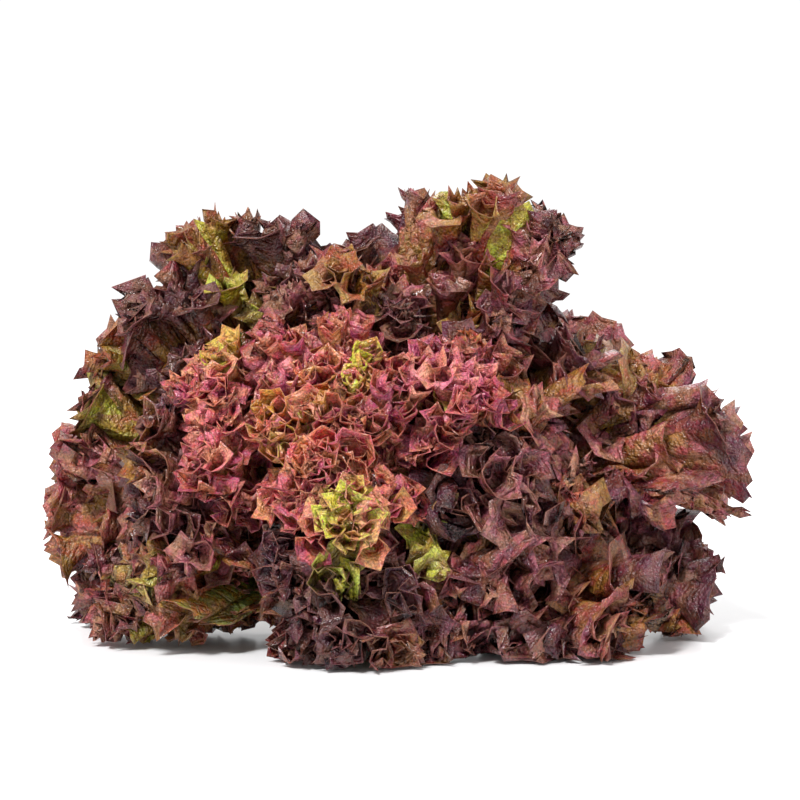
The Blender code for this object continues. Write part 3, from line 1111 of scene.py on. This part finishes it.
@dataclass(frozen=True)
class StemFinish:
    """The pale stem: streaked along its length and browned where it was cut."""

    name: str = "stem skin"
    pale: Colour = (0.66, 0.68, 0.44)
    streak: Colour = (0.52, 0.56, 0.28)
    browned: Colour = (0.36, 0.20, 0.10)
    roughness: float = 0.48
    patch_scale: float = 90.0
    fibre_scale: float = 420.0
    browned_up_to: float = 0.004
    relief: float = 0.0006

    def build(self, groups: LeafGroups) -> bpy.types.Material:
        """Makes the material.

        Args:
            groups: The node groups that the finishes share.

        Returns:
            The material.
        """
        material = bpy.data.materials.new(self.name)
        sketch = NodeSketch.emptied(material)
        mottle = sketch.group(groups.mottle, {"Scale": self.patch_scale})
        place = sketch.add("ShaderNodeTexCoord").outputs["Object"]
        drawn = sketch.add("ShaderNodeMapping", {"Vector": place, "Scale": (1.0, 1.0, 0.12)}).outputs[0]
        noise = sketch.add("ShaderNodeTexNoise", {"Vector": drawn, "Scale": self.fibre_scale, "Detail": 3.0})
        fibre = noise.outputs[0]
        high = sketch.add("ShaderNodeSeparateXYZ", {0: place}).outputs["Z"]
        streaked = sketch.mix(sketch.ramp(fibre, 0.4, 0.62), (*self.pale, 1.0), (*self.streak, 1.0))
        near_cut = sketch.ramp(high, 0.0005, self.browned_up_to, 0.9, 0.0)
        cut = sketch.math("MULTIPLY", near_cut, mottle["Broad"])
        colour = sketch.mix(cut, streaked, (*self.browned, 1.0))
        rough = sketch.ramp(mottle["Fine"], 0.0, 1.0, self.roughness - 0.06, self.roughness + 0.12)
        bump = sketch.add("ShaderNodeBump", {"Height": fibre, "Strength": 0.3, "Distance": self.relief})
        skin = sketch.add(
            "ShaderNodeBsdfPrincipled", {"Base Color": colour, "Roughness": rough, "Normal": bump.outputs[0]}
        )
        sketch.add("ShaderNodeOutputMaterial", {"Surface": skin.outputs[0]})
        return material


# Each finish's crest colour is a pale pink that is partly the leaf's own colour and partly a painted
# highlight.
LEAF_UPPER = LeafFinish(
    name="wine leaf face",
    deep=(0.028, 0.003, 0.008),
    rust=(0.340, 0.090, 0.038),
    plum=(0.170, 0.026, 0.046),
    gold=(0.270, 0.118, 0.026),
    green=(0.130, 0.175, 0.024),
    bloom_and_sheen=(0.370, 0.130, 0.120),
    lime=(0.400, 0.400, 0.060),
    vein=(0.340, 0.140, 0.080),
    vein_share=0.20,
    roughness=0.22,
    glow=0.18,
)
LEAF_UNDER = LeafFinish(
    name="bronze leaf underside",
    deep=(0.056, 0.008, 0.015),
    rust=(0.380, 0.112, 0.050),
    plum=(0.230, 0.042, 0.062),
    gold=(0.300, 0.142, 0.030),
    green=(0.150, 0.200, 0.034),
    bloom_and_sheen=(0.430, 0.175, 0.155),
    lime=(0.420, 0.430, 0.080),
    vein=(0.400, 0.240, 0.130),
    vein_share=0.28,
    roughness=0.28,
    glow=0.18,
)
# The rim's pale pink is partly a painted highlight of light shining through the thin edge.
LEAF_RIM = RimFinish(
    "pale leaf rim", pale=(0.220, 0.085, 0.050), pink=(0.200, 0.045, 0.045), roughness=0.40
)
HEART_UPPER = LeafFinish(
    name="coral heart face",
    deep=(0.210, 0.018, 0.034),
    rust=(0.590, 0.190, 0.110),
    plum=(0.430, 0.078, 0.120),
    gold=(0.450, 0.200, 0.044),
    green=(0.330, 0.330, 0.036),
    bloom_and_sheen=(0.710, 0.270, 0.260),
    lime=(0.500, 0.510, 0.070),
    vein=(0.600, 0.300, 0.190),
    vein_share=0.18,
    roughness=0.22,
    glow=0.24,
)
HEART_UNDER = LeafFinish(
    name="coral heart underside",
    deep=(0.280, 0.032, 0.044),
    rust=(0.630, 0.225, 0.125),
    plum=(0.480, 0.104, 0.140),
    gold=(0.500, 0.250, 0.060),
    green=(0.370, 0.390, 0.050),
    bloom_and_sheen=(0.700, 0.280, 0.260),
    lime=(0.520, 0.540, 0.085),
    vein=(0.620, 0.400, 0.220),
    vein_share=0.22,
    roughness=0.28,
    glow=0.24,
)
# The rim's pale pink is partly a painted highlight of light shining through the thin edge.
HEART_RIM = RimFinish(
    "pale heart rim", pale=(0.380, 0.150, 0.075), pink=(0.380, 0.085, 0.080), roughness=0.38
)


RIB_HALF_WIDTH = 0.07
EDGE_THINNING = 0.55
SAME_END = 0.005


def shaped_grid(name: str, sheet: LeafSheet) -> bpy.types.Object:
    """Adds a grid and moves its points onto a leaf's surface, with the map and masks that its finish reads.

    Args:
        name: The object's name.
        sheet: The leaf's surface.

    Returns:
        The grid, still without thickness.
    """
    rows, columns = sheet.points.shape[:2]
    bpy.ops.mesh.primitive_grid_add(x_subdivisions=columns - 1, y_subdivisions=rows - 1, size=1.0)
    thing = bpy.context.active_object
    thing.name = name
    mesh = thing.data
    mesh.name = name
    mesh.vertices.foreach_set("co", sheet.points.reshape(-1, 3).ravel())

    across, along = sheet.across.ravel(), sheet.along.ravel()
    corners = np.zeros(len(mesh.loops), dtype=np.int32)
    mesh.loops.foreach_get("vertex_index", corners)
    plane = np.stack([0.5 + 0.5 * across[corners], along[corners]], axis=1)
    mesh.uv_layers.active.data.foreach_set("uv", plane.ravel())

    for label, values in leaf_masks(sheet).items():
        layer = mesh.attributes.new(label, "FLOAT", "POINT")
        layer.data.foreach_set("value", values.ravel().astype(np.float32))

    style = sheet.form.style
    inner = sheet.rule.start == 0
    rib = np.exp(-((across / RIB_HALF_WIDTH) ** 2)) * (1 - smooth_step(along, 0.2, 0.75)) * inner
    group = thing.vertex_groups.new(name="thickness")
    thin = style.blade / (style.blade + style.rib)
    if sheet.rule.frills:
        thin = thin * (1 - EDGE_THINNING * smooth_step(sheet.share, 0.6, 1.0).ravel())
    weights = (thin + (1 - thin) * rib).round(2)
    for weight in np.unique(weights):
        group.add(np.flatnonzero(weights == weight).tolist(), float(weight), "REPLACE")
    mesh.update()
    return thing


def leaf_masks(sheet: LeafSheet) -> dict[str, np.ndarray]:
    """The masks that colour a leaf, at each of its points.

    Args:
        sheet: The leaf's surface.

    Returns:
        Arrays of numbers from 0 to 1 by name: tone, green, the crest mask and lime. The crest mask is where
            the frill crests take a pale pink that is partly their own colour and partly a painted highlight.
    """
    form, habit = sheet.form, sheet.form.habit
    across, along = sheet.across, sheet.along
    patches = 0.5 + 0.5 * form.patches(across, along)
    cups = 0.5 + 0.5 * form.cups(across, along)
    tone = np.clip(0.05 + 0.8 * habit.tone + 0.6 * (patches - 0.5) + 0.3 * (cups - 0.5), 0, 1)
    edge = smooth_step(sheet.share, 0.35, 0.85) if sheet.rule.frills else np.zeros(across.shape)
    base = 0.9 * (1 - smooth_step(along, 0.25, 0.72))
    deep = (1 - 0.7 * edge) * (0.25 + 0.95 * cups) * (0.25 + 0.95 * habit.green)
    patch = smooth_step(patches + 0.35 * cups, 0.74, 1.05) * (0.15 + 1.05 * habit.green)
    leafy = covered(habit.leafy, across) * (1.15 - 0.35 * edge)
    green = np.clip(np.maximum(np.maximum(base, leafy), np.maximum(deep, patch)), 0, 1)
    brightness = min(0.3 + 1.4 * habit.tone, 1.0)
    # The frill crests take a painted highlight over their own pink, and brighter leaves take more of it.
    crest_pink_and_sheen = np.clip(edge * (0.15 + 0.70 * smooth_step(cups, 0.35, 0.85)), 0, 1) * brightness
    limes = covered((spot for spot in habit.limes if abs(spot.end - sheet.rule.end) < SAME_END), across)
    lime = np.clip(1.3 * limes * smooth_step(cups, 0.05, 0.45), 0, 1)
    return {"tone": tone, "green": green, "crest_pink_and_sheen": crest_pink_and_sheen, "lime": lime}


def thickened(
    thing: bpy.types.Object, style: LeafStyle, finishes: list[bpy.types.Material]
) -> bpy.types.Object:
    """Gives a leaf its thickness, which is greatest at the midrib, and its three finishes.

    Args:
        thing: The grid that has the leaf's form, still active.
        style: The leaf's thicknesses.
        finishes: The materials of its outer face, its inner face and its rim.

    Returns:
        The same object.
    """
    for material in finishes:
        thing.data.materials.append(material)
    bpy.ops.object.shade_smooth()
    shell = thing.modifiers.new("thickness", "SOLIDIFY")
    shell.thickness = style.blade + style.rib
    shell.offset = -1.0
    shell.vertex_group = "thickness"
    shell.material_offset = 1
    shell.material_offset_rim = 2
    shell.use_quality_normals = True
    bpy.ops.object.modifier_apply(modifier=shell.name)
    return thing


def joined(things: list[bpy.types.Object], name: str) -> bpy.types.Object:
    """Joins sheets or leaves in one object.

    Args:
        things: What is joined.
        name: The name of the whole.

    Returns:
        The whole.
    """
    bpy.ops.object.select_all(action="DESELECT")
    for thing in things:
        thing.select_set(True)
    bpy.context.view_layer.objects.active = things[0]
    if len(things) > 1:
        bpy.ops.object.join()
    whole = bpy.context.active_object
    whole.name = name
    whole.data.name = name
    return whole


def frilled_leaf(
    crown: Crown, plan: LeafPlan, style: LeafStyle, finishes: list[bpy.types.Material]
) -> bpy.types.Object:
    """Makes one leaf of all its sheets.

    Args:
        crown: The crown that it grows from.
        plan: Where it stands and how it folds.
        style: Its sheets.
        finishes: The materials of its outer face, its inner face and its rim.

    Returns:
        The leaf.
    """
    form = LeafForm(crown, plan, style)
    sheets = [
        thickened(shaped_grid(f"{plan.name}_sheet_{k}", LeafSheet(form, rule)), style, finishes)
        for k, rule in enumerate(style.sheets)
    ]
    return joined(sheets, f"frilled_{plan.name}")


@dataclass
class FrilledLeaves:
    """The large leaves of the head, each in the place of its solid."""

    crown: Crown
    rosette: Rosette
    finishes: list[bpy.types.Material]
    inner_finishes: list[bpy.types.Material]

    def build(self) -> list[bpy.types.Object]:
        """Makes every large leaf and lays it over its solid."""
        inner_ring = self.rosette.rings[0][1]
        made = []
        for number, plan in enumerate(self.rosette.large()):
            inner = number < inner_ring
            style = INNER_STYLE if inner else BROAD_STYLE if plan.name in BROAD_LEAVES else LARGE_STYLE
            finishes = self.inner_finishes if inner and plan.name != BEHIND_HEART else self.finishes
            leaf = frilled_leaf(self.crown, plan, style, finishes)
            made.append(placed(leaf, plan.name))
        return made


@dataclass
class FrilledHeart:
    """The nest of small leaves in the middle of the head."""

    crown: Crown
    rosette: Rosette
    style: LeafStyle
    finishes: list[bpy.types.Material]

    def build(self) -> bpy.types.Object:
        """Makes the small leaves and joins them in one piece."""
        leaves = [frilled_leaf(self.crown, plan, self.style, self.finishes) for plan in self.rosette.heart()]
        return placed(joined(leaves, "frilled_heart"), "heart")


@dataclass
class CutStem:
    """The short stem: flat below where it was cut, and bent forward to the crown."""

    crown: Crown
    finish: bpy.types.Material
    radius: float = 0.0155
    sides: int = 64

    def sections(self) -> list[tuple[np.ndarray, np.ndarray, float]]:
        """Centre, direction and radius of each ring, from the cut upwards."""
        crown = self.crown
        up = np.array((0.0, 0.0, 1.0))
        foot = crown.centre - crown.height * up + np.array((0.0, crown.stem_set_back, 0.0))
        neck = crown.centre - 0.011 * crown.axis
        return [
            (foot, up, self.radius - 0.0006),
            (foot + 0.0006 * up, up, self.radius),
            (foot + 0.003 * up, up, self.radius + 0.0006),
            (foot + 0.009 * up - 0.001 * crown.back, unit(up + 0.4 * crown.axis), self.radius + 0.0004),
            (neck, crown.axis, self.radius),
            (crown.centre - 0.002 * crown.axis, crown.axis, 0.0125),
            (crown.centre + 0.005 * crown.axis, crown.axis, 0.0085),
            (crown.centre + 0.009 * crown.axis, crown.axis, 0.0045),
        ]

    def build(self) -> bpy.types.Object:
        """Extrudes the stem ring by ring from its cut face and closes its top."""
        sections = self.sections()
        bpy.ops.mesh.primitive_circle_add(vertices=self.sides, radius=1.0, fill_type="NGON")
        stem = bpy.context.active_object
        stem.name = "cut_stem"
        bpy.ops.object.mode_set(mode="EDIT")
        for _ in sections[1:]:
            bpy.ops.mesh.extrude_region_move(TRANSFORM_OT_translate={"value": (0.0, 0.0, 1.0)})
        bpy.ops.object.mode_set(mode="OBJECT")
        for vertex in stem.data.vertices:
            centre, along, radius = sections[int(round(vertex.co.z))]
            side = unit(np.cross(along, (0.0, 1.0, 0.0)))
            other = np.cross(along, side)
            ripple = 1 + 0.012 * math.sin(9 * math.atan2(vertex.co.y, vertex.co.x))
            vertex.co = Vector(centre + radius * ripple * (vertex.co.x * side - vertex.co.y * other))
        stem.data.materials.append(self.finish)
        bpy.ops.object.mode_set(mode="EDIT")
        bpy.ops.mesh.select_all(action="SELECT")
        bpy.ops.mesh.normals_make_consistent(inside=False)
        bpy.ops.object.mode_set(mode="OBJECT")
        bpy.ops.object.shade_smooth_by_angle(angle=math.radians(50))
        return placed(stem, "stem")


def placed(piece: bpy.types.Object, node: str) -> bpy.types.Object:
    """Hangs a piece on the root body, hides the solid that it stands for, and logs the pair.

    Args:
        piece: The finished piece.
        node: The solid that it stands for.

    Returns:
        The same piece.
    """
    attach(piece, "root")
    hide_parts(node)
    log.info("%s stands for %s with %d faces", piece.name, node, len(piece.data.polygons))
    return piece


@dataclass
class Studio:
    """The pale floor, the soft light and the camera."""

    elevation: float = 3.5
    distance: float = 0.88
    lens: float = 105.5
    aim: tuple[float, float, float] = (0.002, 0.0, 0.0865)

    def build(self) -> None:
        """Makes the floor, the sky, the lamps and the camera."""
        self._floor()
        self._sky()
        self._surround()
        self._sun("high sun", (-0.34, -0.80, 1.1), strength=3.6, spread=11.0)
        self._lamp("key", (-0.6, -0.8, 1.2), size=0.4, power=8.0)
        self._lamp("fill", (1.0, -1.1, 0.6), size=0.8, power=6.0)
        self._lamp("rear", (0.2, 1.1, 1.1), size=0.9, power=14.0)
        self._camera()

    def _floor(self) -> None:
        """A wide pale floor with a faint gloss."""
        bpy.ops.mesh.primitive_plane_add(size=14.0, location=(0.0, 4.0, 0.0))
        floor = bpy.context.active_object
        floor.name = "studio_floor"
        material = bpy.data.materials.new("white floor")
        sketch = NodeSketch.emptied(material)
        gloss = {"Base Color": (0.93, 0.93, 0.94, 1.0), "Roughness": 0.22, "Specular IOR Level": 0.35}
        shader = sketch.add("ShaderNodeBsdfPrincipled", gloss)
        sketch.add("ShaderNodeOutputMaterial", {"Surface": shader.outputs[0]})
        floor.data.materials.append(material)

    def _surround(self) -> None:
        """A low bright ring far round the head, which the floor meets without a line."""
        bpy.ops.mesh.primitive_cylinder_add(
            vertices=96, radius=3.0, depth=1.0, end_fill_type="NOTHING", location=(0.0, 0.0, 0.49)
        )
        ring = bpy.context.active_object
        ring.name = "bright_surround"
        material = bpy.data.materials.new("bright surround")
        sketch = NodeSketch.emptied(material)
        shine = sketch.add("ShaderNodeEmission", {"Color": WHITE, "Strength": 1.05})
        sketch.add("ShaderNodeOutputMaterial", {"Surface": shine.outputs[0]})
        ring.data.materials.append(material)

    def _sky(self) -> None:
        """An even white surround, brighter to the camera than on the head."""
        world = bpy.data.worlds.new("surround")
        sketch = NodeSketch.emptied(world)
        seen = sketch.add("ShaderNodeLightPath").outputs["Is Camera Ray"]
        strength = sketch.ramp(seen, 0.0, 1.0, 0.56, 1.05)
        surround = sketch.add("ShaderNodeBackground", {"Color": WHITE, "Strength": strength})
        sketch.add("ShaderNodeOutputWorld", {"Surface": surround.outputs[0]})
        bpy.context.scene.world = world
        bpy.context.scene.view_settings.view_transform = "Standard"

    def _sun(self, name: str, place: tuple[float, float, float], strength: float, spread: float) -> None:
        """A very soft sun that faces the head.

        Args:
            name: The lamp's name.
            place: The direction that it shines from.
            strength: Its strength, in watts a square metre.
            spread: The angle that it fills, in degrees.
        """
        lamp = bpy.data.lights.new(name, "SUN")
        lamp.energy = strength
        lamp.angle = math.radians(spread)
        self._aimed(name, lamp, Vector(place), -Vector(place))

    def _lamp(self, name: str, place: tuple[float, float, float], size: float, power: float) -> None:
        """A square soft lamp that faces the head.

        Args:
            name: The lamp's name.
            place: Where it hangs.
            size: The length of its side.
            power: Its power, in watts.
        """
        lamp = bpy.data.lights.new(name, "AREA")
        lamp.size = size
        lamp.energy = power
        self._aimed(name, lamp, Vector(place), Vector(self.aim) - Vector(place))

    def _camera(self) -> None:
        """The camera, low in front of the head."""
        camera = bpy.data.cameras.new("camera")
        camera.lens = self.lens
        rise = math.radians(self.elevation)
        back = Vector((0.0, -math.cos(rise), math.sin(rise)))
        place = Vector(self.aim) + self.distance * back
        bpy.context.scene.camera = self._aimed("camera", camera, place, -back)

    @staticmethod
    def _aimed(name: str, data: bpy.types.ID, place: Vector, direction: Vector) -> bpy.types.Object:
        """Puts a lamp or the camera in the scene.

        Args:
            name: The object's name.
            data: The lamp or the camera.
            place: Where it stands.
            direction: Where it faces.

        Returns:
            The object.
        """
        thing = bpy.data.objects.new(name, data)
        thing.location = place
        thing.rotation_mode = "QUATERNION"
        thing.rotation_quaternion = direction.to_track_quat("-Z", "Y")
        bpy.context.scene.collection.objects.link(thing)
        return thing


def stem_foot() -> tuple[float, float]:
    """The middle of the stem's cut face, read from its solid."""
    points = np.array([vertex.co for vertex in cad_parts["stem"].data.vertices])
    low = points[points[:, 2] < 1e-4]
    middle = (low.min(axis=0) + low.max(axis=0)) / 2
    return float(middle[0]), float(middle[1])


def main() -> None:
    """Builds the stem, the heart, the large leaves and the studio."""
    logging.basicConfig(level=logging.INFO, format="%(name)s: %(message)s")
    crown = Crown(foot=stem_foot())
    rosette = Rosette(crown)
    groups = LeafGroups()
    leaf_finishes = [finish.build(groups) for finish in (LEAF_UNDER, LEAF_UPPER, LEAF_RIM)]
    heart_finishes = [finish.build(groups) for finish in (HEART_UNDER, HEART_UPPER, HEART_RIM)]
    CutStem(crown, StemFinish().build(groups)).build()
    FrilledHeart(crown, rosette, HEART_STYLE, heart_finishes).build()
    FrilledLeaves(crown, rosette, leaf_finishes, heart_finishes).build()
    Studio().build()


if __name__ == "__main__":
    main()
